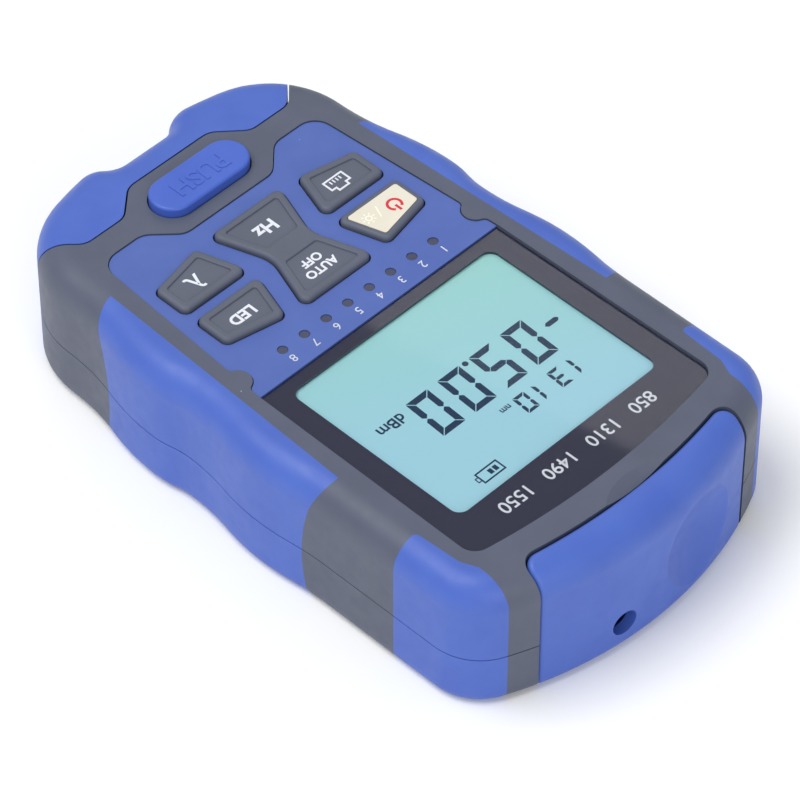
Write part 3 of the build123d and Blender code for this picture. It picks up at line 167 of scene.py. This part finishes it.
def noise(material, cell, detail=2.0):
    """Soft noise whose blobs are about one cell wide, in millimetres."""
    texture = add_node(material, "ShaderNodeTexNoise", Scale=1.0 / (cell * MM), Detail=detail)
    link(material, object_place(material), texture.inputs["Vector"])
    return texture.outputs["Fac"]


def ramp(material, source, low, high, low_value, high_value):
    """Source between low and high, spread over another range."""
    node = add_node(material, "ShaderNodeMapRange", From_Min=low, From_Max=high, To_Min=low_value, To_Max=high_value)
    link(material, source, node.inputs["Value"])
    return node.outputs["Result"]


def mixed(material, factor, first, second):
    """Blend of two colours; each is a colour or a socket."""
    node = material.node_tree.nodes.new("ShaderNodeMix")
    node.data_type = "RGBA"
    link(material, factor, node.inputs["Factor"])
    feed(material, first, node.inputs[MIX_FIRST])
    feed(material, second, node.inputs[MIX_SECOND])
    return node.outputs[MIX_RESULT]


def reckoned(material, operation, first, second):
    """Result of one sum, product or comparison; each value is a number or a socket."""
    node = material.node_tree.nodes.new("ShaderNodeMath")
    node.operation = operation
    feed(material, first, node.inputs[0])
    feed(material, second, node.inputs[1])
    return node.outputs["Value"]


def add_grain(material, cell, depth):
    """Fine moulded texture as bump, depth in millimetres."""
    bump = add_node(material, "ShaderNodeBump", Strength=1.0, Distance=depth * MM)
    link(material, noise(material, cell), bump.inputs["Height"])
    link(material, bump.outputs["Normal"], socket_of(material, "Normal"))


def speck_mask(material, cell, size, share):
    """Sparse round specks: the given share of the cells holds a dot of the given size."""
    texture = add_node(material, "ShaderNodeTexVoronoi", Scale=1.0 / (cell * MM))
    link(material, object_place(material), texture.inputs["Vector"])
    dot = ramp(material, texture.outputs["Distance"], size / cell, 0.5 * size / cell, 0.0, 1.0)
    split = material.node_tree.nodes.new("ShaderNodeSeparateColor")
    link(material, texture.outputs["Color"], split.inputs["Color"])
    chosen = reckoned(material, "LESS_THAN", split.outputs["Red"], share)
    return reckoned(material, "MULTIPLY", dot, chosen)


def moulded_plastic(name, colour, shade, roughness, speck):
    """Moulded plastic with a faint cloud of tone, fine grain and a few dust specks."""
    material = new_material(name, colour, roughness)
    cloud = ramp(material, noise(material, CLOUD_CELL), *TONE_BAND, 0.0, 1.0)
    toned = mixed(material, cloud, colour, shade)
    dusty = mixed(material, speck_mask(material, SPECK_CELL, SPECK_SIZE, SPECK_SHARE), toned, speck)
    link(material, dusty, socket_of(material, "Base Color"))
    polish = noise(material, POLISH_CELL)
    rough = ramp(material, polish, *POLISH_BAND, roughness - POLISH_SPREAD, roughness + POLISH_SPREAD)
    link(material, rough, socket_of(material, "Roughness"))
    add_grain(material, GRAIN_CELL, GRAIN_DEPTH)
    return material


def glossed(name, colour, roughness, gloss):
    """Even ground under a clear gloss."""
    return new_material(
        name,
        colour,
        roughness,
        Specular_IOR_Level=PRINT_SPECULAR,
        Coat_Weight=gloss,
        Coat_Roughness=GLOSS_ROUGHNESS,
    )


def display_glow():
    """Lit display ground that turns from green to sky blue along its length."""
    green, blue = srgb(144, 200, 194), srgb(147, 195, 210)
    material = glossed("display_ground", blue, DISPLAY_ROUGHNESS, DISPLAY_GLOSS)
    split = material.node_tree.nodes.new("ShaderNodeSeparateXYZ")
    link(material, object_place(material), split.inputs["Vector"])
    low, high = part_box("lcd_panel")
    along = ramp(material, split.outputs["Y"], low.y, high.y, 0.0, 1.0)
    across = ramp(material, split.outputs["X"], low.x, high.x, 0.0, DISPLAY_ACROSS)
    tone = mixed(material, reckoned(material, "ADD", along, across), green, blue)
    link(material, tone, socket_of(material, "Base Color"))
    link(material, tone, socket_of(material, "Emission Color"))
    socket_of(material, "Emission Strength").default_value = DISPLAY_EMISSION
    return material


def smooth_print(name, colour, shade, gloss=1.0):
    """Even print or ink: a faint drift of tone, no grain and a clear gloss on top."""
    material = glossed(name, colour, PRINT_ROUGHNESS, gloss)
    drift = ramp(material, noise(material, DRIFT_CELL), *TONE_BAND, 0.0, 1.0)
    link(material, mixed(material, drift, colour, shade), socket_of(material, "Base Color"))
    return material


def brushed_metal(name, colour, roughness):
    """Bare metal with fine uneven polish."""
    material = new_material(name, colour, roughness, Metallic=1.0)
    polish = noise(material, METAL_CELL, METAL_DETAIL)
    rough = ramp(material, polish, *POLISH_BAND, roughness - METAL_SMOOTHER, roughness + METAL_ROUGHER)
    link(material, rough, socket_of(material, "Roughness"))
    return material


BLUE_SPECK = srgb(150, 165, 225)
GREY_SPECK = srgb(190, 194, 204)
paint = {
    "case_grey": moulded_plastic("case_grey", srgb(83, 89, 107), srgb(79, 85, 103), 0.5, GREY_SPECK),
    "grip_blue": moulded_plastic("grip_blue", srgb(70, 101, 188), srgb(66, 96, 184), 0.46, BLUE_SPECK),
    "panel_blue": moulded_plastic("panel_blue", srgb(76, 100, 172), srgb(72, 96, 168), 0.5, BLUE_SPECK),
    "key_grey": moulded_plastic("key_grey", srgb(89, 94, 110), srgb(86, 91, 106), 0.6, GREY_SPECK),
    "ivory": moulded_plastic("ivory", srgb(226, 220, 203), srgb(222, 215, 197), 0.35, srgb(240, 235, 220)),
    "lens_clear": new_material("lens_clear", srgb(30, 32, 36), 0.03, Alpha=0.02),
    "mask_black": smooth_print("mask_black", srgb(20, 23, 53), srgb(18, 21, 50)),
    "lcd_cyan": display_glow(),
    "backlight_white": moulded_plastic("backlight_white", srgb(235, 238, 240), srgb(228, 232, 235), 0.4, GREY_SPECK),
    "board_green": moulded_plastic("board_green", srgb(30, 92, 62), srgb(24, 82, 54), 0.45, srgb(60, 120, 90)),
    "switch_black": moulded_plastic("switch_black", srgb(40, 41, 44), srgb(35, 36, 39), 0.45, GREY_SPECK),
    "lamp_smoke": moulded_plastic("lamp_smoke", srgb(60, 64, 90), srgb(54, 58, 84), 0.3, GREY_SPECK),
    "spring_steel": brushed_metal("spring_steel", srgb(196, 198, 202), 0.3),
    "steel": brushed_metal("steel", srgb(176, 178, 184), 0.32),
    "port_metal": brushed_metal("port_metal", srgb(206, 204, 198), 0.25),
    "torch_clear": new_material("torch_clear", srgb(240, 244, 250), 0.08, Transmission_Weight=0.9, IOR=1.5),
    "cell_jacket": moulded_plastic("cell_jacket", srgb(60, 66, 80), srgb(54, 60, 74), 0.3, GREY_SPECK),
    "jack_black": moulded_plastic("jack_black", srgb(38, 39, 43), srgb(34, 35, 39), 0.4, GREY_SPECK),
}
pill_blue = moulded_plastic("pill_blue", srgb(66, 98, 192), srgb(62, 93, 188), 0.42, BLUE_SPECK)
ink_white = moulded_plastic("ink_white", srgb(226, 229, 236), srgb(220, 223, 231), 0.5, srgb(235, 237, 240))
ink_pale = smooth_print("ink_pale", srgb(206, 209, 218), srgb(200, 204, 213))
ink_red = moulded_plastic("ink_red", srgb(214, 40, 62), srgb(206, 36, 58), 0.45, srgb(226, 90, 104))
ink_cream = moulded_plastic("ink_cream", srgb(250, 246, 232), srgb(246, 241, 226), 0.4, srgb(255, 252, 244))
ink_navy = smooth_print("ink_navy", srgb(14, 46, 76), srgb(12, 43, 72), DISPLAY_GLOSS)

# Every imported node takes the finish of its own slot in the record, and the release button a brighter blue.
for subpart in frame["record"]["subparts"]:
    node = nodes[subpart["node"]]
    node.data.materials.clear()
    node.data.materials.append(paint[subpart["material_slot"]])
nodes["release_button"].data.materials[0] = pill_blue


# Flat marks


def rectangle(left, low, right, high):
    """Corners of a rectangle, counter-clockwise."""
    return [(left, low), (right, low), (right, high), (left, high)]


def arc(centre, radius, start, end, steps=28):
    """Points along an arc, angles in degrees."""
    points = []
    for i in range(steps + 1):
        turn = math.radians(start + (end - start) * i / steps)
        points.append((centre[0] + radius * math.cos(turn), centre[1] + radius * math.sin(turn)))
    return points


def ring(centre, radius):
    """Points round a whole circle."""
    return arc(centre, radius, 0, 360 - 360 / RING_POINTS, RING_POINTS - 1)


def ribbon(points, width, closed=False):
    """Quads along a line of constant width, with mitred corners."""
    path = [Vector(p) for p in points]
    count = len(path)
    left, right = [], []
    for i, here in enumerate(path):
        before = path[i - 1] if i > 0 or closed else None
        after = path[(i + 1) % count] if i < count - 1 or closed else None
        into = (here - before).normalized() if before is not None else (after - here).normalized()
        out = (after - here).normalized() if after is not None else into
        normal = Vector((-into.y - out.y, into.x + out.x)).normalized()
        reach = width / 2 / max(MITRE_LIMIT, normal.dot(Vector((-into.y, into.x))))
        left.append(here + normal * reach)
        right.append(here - normal * reach)
    quads = []
    for i in range(count if closed else count - 1):
        j = (i + 1) % count
        quads.append([left[i], right[i], right[j], left[j]])
    return quads


def segment_digit(digit, x, y, width, height, thick, slant):
    """Polygons of one seven-segment digit, its lower left corner at x, y."""
    shown = {"0": "abcdef", "1": "bc", "3": "abcdg", "5": "acdfg"}[digit]
    g, t, w, h = SEGMENT_GAP, thick, width, height
    middle = h / 2
    top = [(g, h), (w - g, h), (w - t - g, h - t), (t + g, h - t)]
    upper = [
        (w, h - g),
        (w, middle + t / 2),
        (w - t / 2, middle + g / 2),
        (w - t, middle + t / 2),
        (w - t, h - t - g),
    ]
    bar = [
        (t / 2 + g, middle),
        (t + g, middle + t / 2),
        (w - t - g, middle + t / 2),
        (w - t / 2 - g, middle),
        (w - t - g, middle - t / 2),
        (t + g, middle - t / 2),
    ]
    shapes = {
        "a": top,
        "b": upper,
        "c": [(px, h - py) for px, py in upper],
        "d": [(px, h - py) for px, py in top],
        "e": [(w - px, h - py) for px, py in upper],
        "f": [(w - px, py) for px, py in upper],
        "g": bar,
    }
    return [[(x + px + slant * py, y + py) for px, py in shapes[key]] for key in shown]


def place_piece(piece, material, body):
    """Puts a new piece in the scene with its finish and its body."""
    bpy.context.scene.collection.objects.link(piece)
    piece.data.materials.clear()
    piece.data.materials.append(material)
    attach(piece, body)
    return piece


def flat_piece(name, polygons, z, material, body):
    """Thin printed piece from polygons in the plane, y measured from the row of lamps."""
    mesh = bpy.data.meshes.new(name)
    bm = bmesh.new()
    for polygon in polygons:
        bm.faces.new([bm.verts.new((p[0] * MM, (p[1] + LED_Y) * MM, z * MM)) for p in polygon])
    bmesh.ops.remove_doubles(bm, verts=bm.verts, dist=MERGE_REACH * MM)
    grown = bmesh.ops.extrude_face_region(bm, geom=list(bm.faces))
    raised = [g for g in grown["geom"] if isinstance(g, bmesh.types.BMVert)]
    bmesh.ops.translate(bm, verts=raised, vec=(0, 0, PRINT_T * MM))
    bmesh.ops.recalc_face_normals(bm, faces=bm.faces)
    bm.to_mesh(mesh)
    bm.free()
    place_piece(bpy.data.objects.new(name, mesh), material, body)


def lettering(name, words, x, y, height, z, material, body, weight=0.0, thick=PRINT_T):
    """Short lettering centred on a place, y measured from the row of lamps; height is that of a capital."""
    curve = bpy.data.curves.new(name, "FONT")
    curve.body = words
    curve.size = height * MM / CAPITAL_SHARE
    curve.align_x = "CENTER"
    curve.align_y = "CENTER"
    curve.offset = weight * MM
    curve.extrude = thick * MM / 2
    curve.resolution_u = FONT_STEPS
    text = bpy.data.objects.new(name + ".text", curve)
    bpy.context.scene.collection.objects.link(text)
    text.location = (x * MM, (y + LED_Y) * MM, (z + thick / 2) * MM)
    bpy.context.view_layer.update()
    solid = text.evaluated_get(bpy.context.evaluated_depsgraph_get())
    mesh = bpy.data.meshes.new_from_object(solid)
    mesh.transform(text.matrix_world)
    bpy.data.objects.remove(text)
    place_piece(bpy.data.objects.new(name, mesh), material, body)


# Lens pane in the lens's own shape, its underside lifted clear of the printed border
PANE_LIFT = 0.03
pane_mesh = nodes["display_lens"].data.copy()
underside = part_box("display_lens")[0].z
for vertex in pane_mesh.vertices:
    if vertex.co.z < underside + 0.5 * PANE_LIFT * MM:
        vertex.co.z += PANE_LIFT * MM
pane = place_piece(bpy.data.objects.new("lens_pane", pane_mesh), paint["lens_clear"], "case")
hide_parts("display_lens")

# Release spring, copied onto a mesh of its own in place of the imported coil
spring_mesh = nodes["release_spring"].data.copy()
spring = place_piece(bpy.data.objects.new("release_coil", spring_mesh), paint["spring_steel"], "case")
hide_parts("release_spring")
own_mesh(spring)

# Readout on the display: the level with its sign and point, the wavelength and both units
READOUT_SLANT = 0.05
LEVEL_PLACES = (-15.2, -7.9, -0.6, 6.7)
LEVEL_Y, LEVEL_WIDTH, LEVEL_HEIGHT, LEVEL_THICK = 22.2, 5.0, 9.2, 1.2
MINUS_SIGN = [(-20.0, 26.2), (-19.5, 26.7), (-17.4, 26.7), (-16.9, 26.2), (-17.4, 25.7), (-19.5, 25.7)]
POINT_PLACE, POINT_R = (-1.7, 22.7), 0.55
WAVE_PLACES = (-16.2, -11.8, -8.0, -3.8)
WAVE_Y, WAVE_WIDTH, WAVE_HEIGHT, WAVE_THICK = 33.6, 2.6, 4.1, 0.62
reading = []
for digit, x in zip("0500", LEVEL_PLACES):
    reading += segment_digit(digit, x, LEVEL_Y, LEVEL_WIDTH, LEVEL_HEIGHT, LEVEL_THICK, READOUT_SLANT)
reading.append(MINUS_SIGN)
reading.append(ring(POINT_PLACE, POINT_R))
for digit, x in zip("1310", WAVE_PLACES):
    reading += segment_digit(digit, x, WAVE_Y, WAVE_WIDTH, WAVE_HEIGHT, WAVE_THICK, READOUT_SLANT)
flat_piece("display_reading", reading, LCD_Z, ink_navy, "case")
lettering("display_unit_dbm", "dBm", 16.3, 23.6, 2.3, LCD_Z, ink_navy, "case", 0.05)
lettering("display_unit_nm", "nm", 0.9, 34.3, 1.3, LCD_Z, ink_navy, "case", 0.03)

# Battery sign: a frame, a tip beside it and two bars
CELL_LEFT, CELL_LOW, CELL_RIGHT, CELL_HIGH = 10.2, 40.8, 14.8, 43.1
CELL_LINE = 0.3
TIP_START, TIP_REACH, TIP_INSET, TIP_LINE = 0.11, 0.7, 0.7, 0.2
BAR_COUNT, BAR_START, BAR_PITCH, BAR_WIDTH, BAR_INSET = 2, 0.7, 1.1, 0.8, 0.6
tip_low, tip_high = CELL_LOW + TIP_INSET, CELL_HIGH - TIP_INSET
tip_left, tip_right = CELL_RIGHT + TIP_START, CELL_RIGHT + TIP_REACH
battery = ribbon(rectangle(CELL_LEFT, CELL_LOW, CELL_RIGHT, CELL_HIGH), CELL_LINE, closed=True)
battery += ribbon(rectangle(tip_left, tip_low, tip_right, tip_high), TIP_LINE)
for i in range(BAR_COUNT):
    left = CELL_LEFT + BAR_START + i * BAR_PITCH
    battery.append(rectangle(left, CELL_LOW + BAR_INSET, left + BAR_WIDTH, CELL_HIGH - BAR_INSET))
flat_piece("display_battery", battery, LCD_Z, ink_navy, "case")

# Plain wavelength numbers on the band above the window
BAND_WORDS = "850   1310   1490   1550"
lettering("band_numbers", BAND_WORDS, 0.0, 49.2, 2.6, MASK_Z, ink_pale, "case", 0.03)

# Lamp numbers
LAMP_COUNT, LAMP_PITCH = 8, 5.0
NUMBER_Y, NUMBER_HEIGHT = 2.5, 1.7
for i in range(LAMP_COUNT):
    x = LAMP_PITCH * (i - (LAMP_COUNT - 1) / 2)
    number = str(i + 1)
    lettering(f"lamp_number_{number}", number, x, NUMBER_Y, NUMBER_HEIGHT, PANEL_Z, ink_pale, "case")

# Key legends: name, words, place, height, body and weight
LEGENDS = (
    ("legend_led", "LED", 17.0, -9.9, 2.2, "lamp_button", 0.1),
    ("legend_lambda", "λ", 17.2, -21.0, 3.3, "wavelength_button", 0.06),
    ("legend_hz", "Hz", 0.2, -21.6, 2.7, "rocker", 0.12),
    ("legend_auto", "AUTO", 0.2, -8.4, 1.75, "rocker", 0.08),
    ("legend_off", "OFF", 0.2, -10.9, 1.75, "rocker", 0.08),
)
for name, words, x, y, size, body, weight in LEGENDS:
    lettering(name, words, x, y, size, KEY_Z, ink_white, body, weight)

# Jack sign on the network key: a stepped outline with four contacts
JACK_X, JACK_Y = -15.9, -20.6
JACK_HALF, JACK_STEP_HALF = 2.1, 1.1
JACK_LOW, JACK_SHOULDER, JACK_TOP = -1.5, 0.7, 1.5
JACK_LINE = 0.36
PIN_COUNT, PIN_PITCH, PIN_LOW, PIN_HIGH, PIN_LINE = 4, 0.7, -1.1, -0.3, 0.26
jack_outline = [
    (-JACK_HALF, JACK_LOW),
    (JACK_HALF, JACK_LOW),
    (JACK_HALF, JACK_SHOULDER),
    (JACK_STEP_HALF, JACK_SHOULDER),
    (JACK_STEP_HALF, JACK_TOP),
    (-JACK_STEP_HALF, JACK_TOP),
    (-JACK_STEP_HALF, JACK_SHOULDER),
    (-JACK_HALF, JACK_SHOULDER),
]
jack_mark = ribbon([(JACK_X + x, JACK_Y + y) for x, y in jack_outline], JACK_LINE, closed=True)
for i in range(PIN_COUNT):
    x = JACK_X + PIN_PITCH * (i - (PIN_COUNT - 1) / 2)
    jack_mark += ribbon([(x, JACK_Y + PIN_LOW), (x, JACK_Y + PIN_HIGH)], PIN_LINE)
flat_piece("legend_network", jack_mark, KEY_Z, ink_white, "network_button")

# Power sign on the insert: an open ring and a stroke
POWER_X, POWER_Y = -18.5, -9.9
POWER_R, POWER_START, POWER_END = 1.25, 125, 415
STROKE_LOW, STROKE_HIGH = 0.2, 1.7
POWER_LINE = 0.5
power_mark = ribbon(arc((POWER_X, POWER_Y), POWER_R, POWER_START, POWER_END), POWER_LINE)
power_mark += ribbon([(POWER_X, POWER_Y + STROKE_LOW), (POWER_X, POWER_Y + STROKE_HIGH)], POWER_LINE)
flat_piece("legend_power", power_mark, INSERT_Z, ink_red, "power_button")

# Light sign on the insert: a ring with rays, and a slash before it
SUN_X, SUN_Y = -13.1, -10.6
SUN_R, SUN_LINE = 0.55, 0.22
RAY_COUNT, RAY_SPAN = 8, (0.85, 1.3)
SLASH, SLASH_LINE = [(-15.9, -11.9), (-14.9, -9.4)], 0.25
sun_mark = ribbon(ring((SUN_X, SUN_Y), SUN_R), SUN_LINE, closed=True)
for i in range(RAY_COUNT):
    turn = math.radians(360 / RAY_COUNT * i)
    ray = [(SUN_X + r * math.cos(turn), SUN_Y + r * math.sin(turn)) for r in RAY_SPAN]
    sun_mark += ribbon(ray, SUN_LINE)
sun_mark += ribbon(SLASH, SLASH_LINE)
flat_piece("legend_light", sun_mark, INSERT_Z, ink_cream, "power_button")

# Raised word on the release button
word_y, word_z = BUTTON_Y - LED_Y, BUTTON_Z - EMBOSS_SINK
lettering("release_word", "PUSH", 0.0, word_y, 3.6, word_z, pill_blue, "release", 0.1, EMBOSS_T)

# Pale floor and even sky, in metres
FLOOR_HALF = 3.0
SKY_STRENGTH = 0.55
floor_mesh = bpy.data.meshes.new("floor")
corners = [(x, y, 0) for x, y in rectangle(-FLOOR_HALF, -FLOOR_HALF, FLOOR_HALF, FLOOR_HALF)]
floor_mesh.from_pydata(corners, [], [(0, 1, 2, 3)])
floor = bpy.data.objects.new("floor", floor_mesh)
bpy.context.scene.collection.objects.link(floor)
floor.data.materials.append(new_material("floor_white", srgb(250, 250, 250), 0.9, Specular_IOR_Level=0.0))

world = bpy.data.worlds.new("studio")
world.use_nodes = True
world.node_tree.nodes["Background"].inputs["Color"].default_value = srgb(250, 252, 255)
world.node_tree.nodes["Background"].inputs["Strength"].default_value = SKY_STRENGTH
bpy.context.scene.world = world


def soft_lamp(name, place, width, height, power, roll):
    """Large soft lamp turned toward the middle of the floor, lengths in metres and roll in degrees."""
    data = bpy.data.lights.new(name, "AREA")
    data.shape = "RECTANGLE"
    data.size = width
    data.size_y = height
    data.energy = power
    lamp = bpy.data.objects.new(name, data)
    bpy.context.scene.collection.objects.link(lamp)
    lamp.location = place
    turn = (-Vector(place)).to_track_quat("-Z", "Y") @ Quaternion((0, 0, 1), math.radians(roll))
    lamp.rotation_euler = turn.to_euler()


# Lamps: name, place, width, height, power and roll; the dim card is what the lens mirrors beside the display
LAMPS = (
    ("key_lamp", (0.5, -0.3, 1.3), 0.9, 0.9, 12.5, 0.0),
    ("fill_lamp", (0.5, 1.1, 0.6), 0.8, 0.8, 5.0, 0.0),
    ("window_card", (-0.682, -0.554, 0.8375), 1.0, 0.2, 0.74, -21.3),
)
for lamp_values in LAMPS:
    soft_lamp(*lamp_values)

# Camera at the photograph's angle, aimed at a point near the display
AIM = Vector((4.3, LED_Y + 13.76, 15.07)) * MM
AZIMUTH = 44.49
ELEVATION = 46.80
DISTANCE = 820.5 * MM
SENSOR_WIDTH = 36.0
FOCAL_LENGTH = 225.0
NEAREST = 0.05
bearing = math.radians(AZIMUTH)
rise = math.radians(ELEVATION)
back = Vector((math.cos(rise) * math.cos(bearing), math.cos(rise) * math.sin(bearing), math.sin(rise)))
camera_data = bpy.data.cameras.new("camera")
camera_data.sensor_width = SENSOR_WIDTH
camera_data.lens = FOCAL_LENGTH
camera_data.clip_start = NEAREST
camera = bpy.data.objects.new("camera", camera_data)
bpy.context.scene.collection.objects.link(camera)
camera.location = AIM + back * DISTANCE
camera.rotation_euler = (-back).to_track_quat("-Z", "Y").to_euler()
bpy.context.scene.camera = camera
bpy.context.scene.view_settings.view_transform = "Standard"
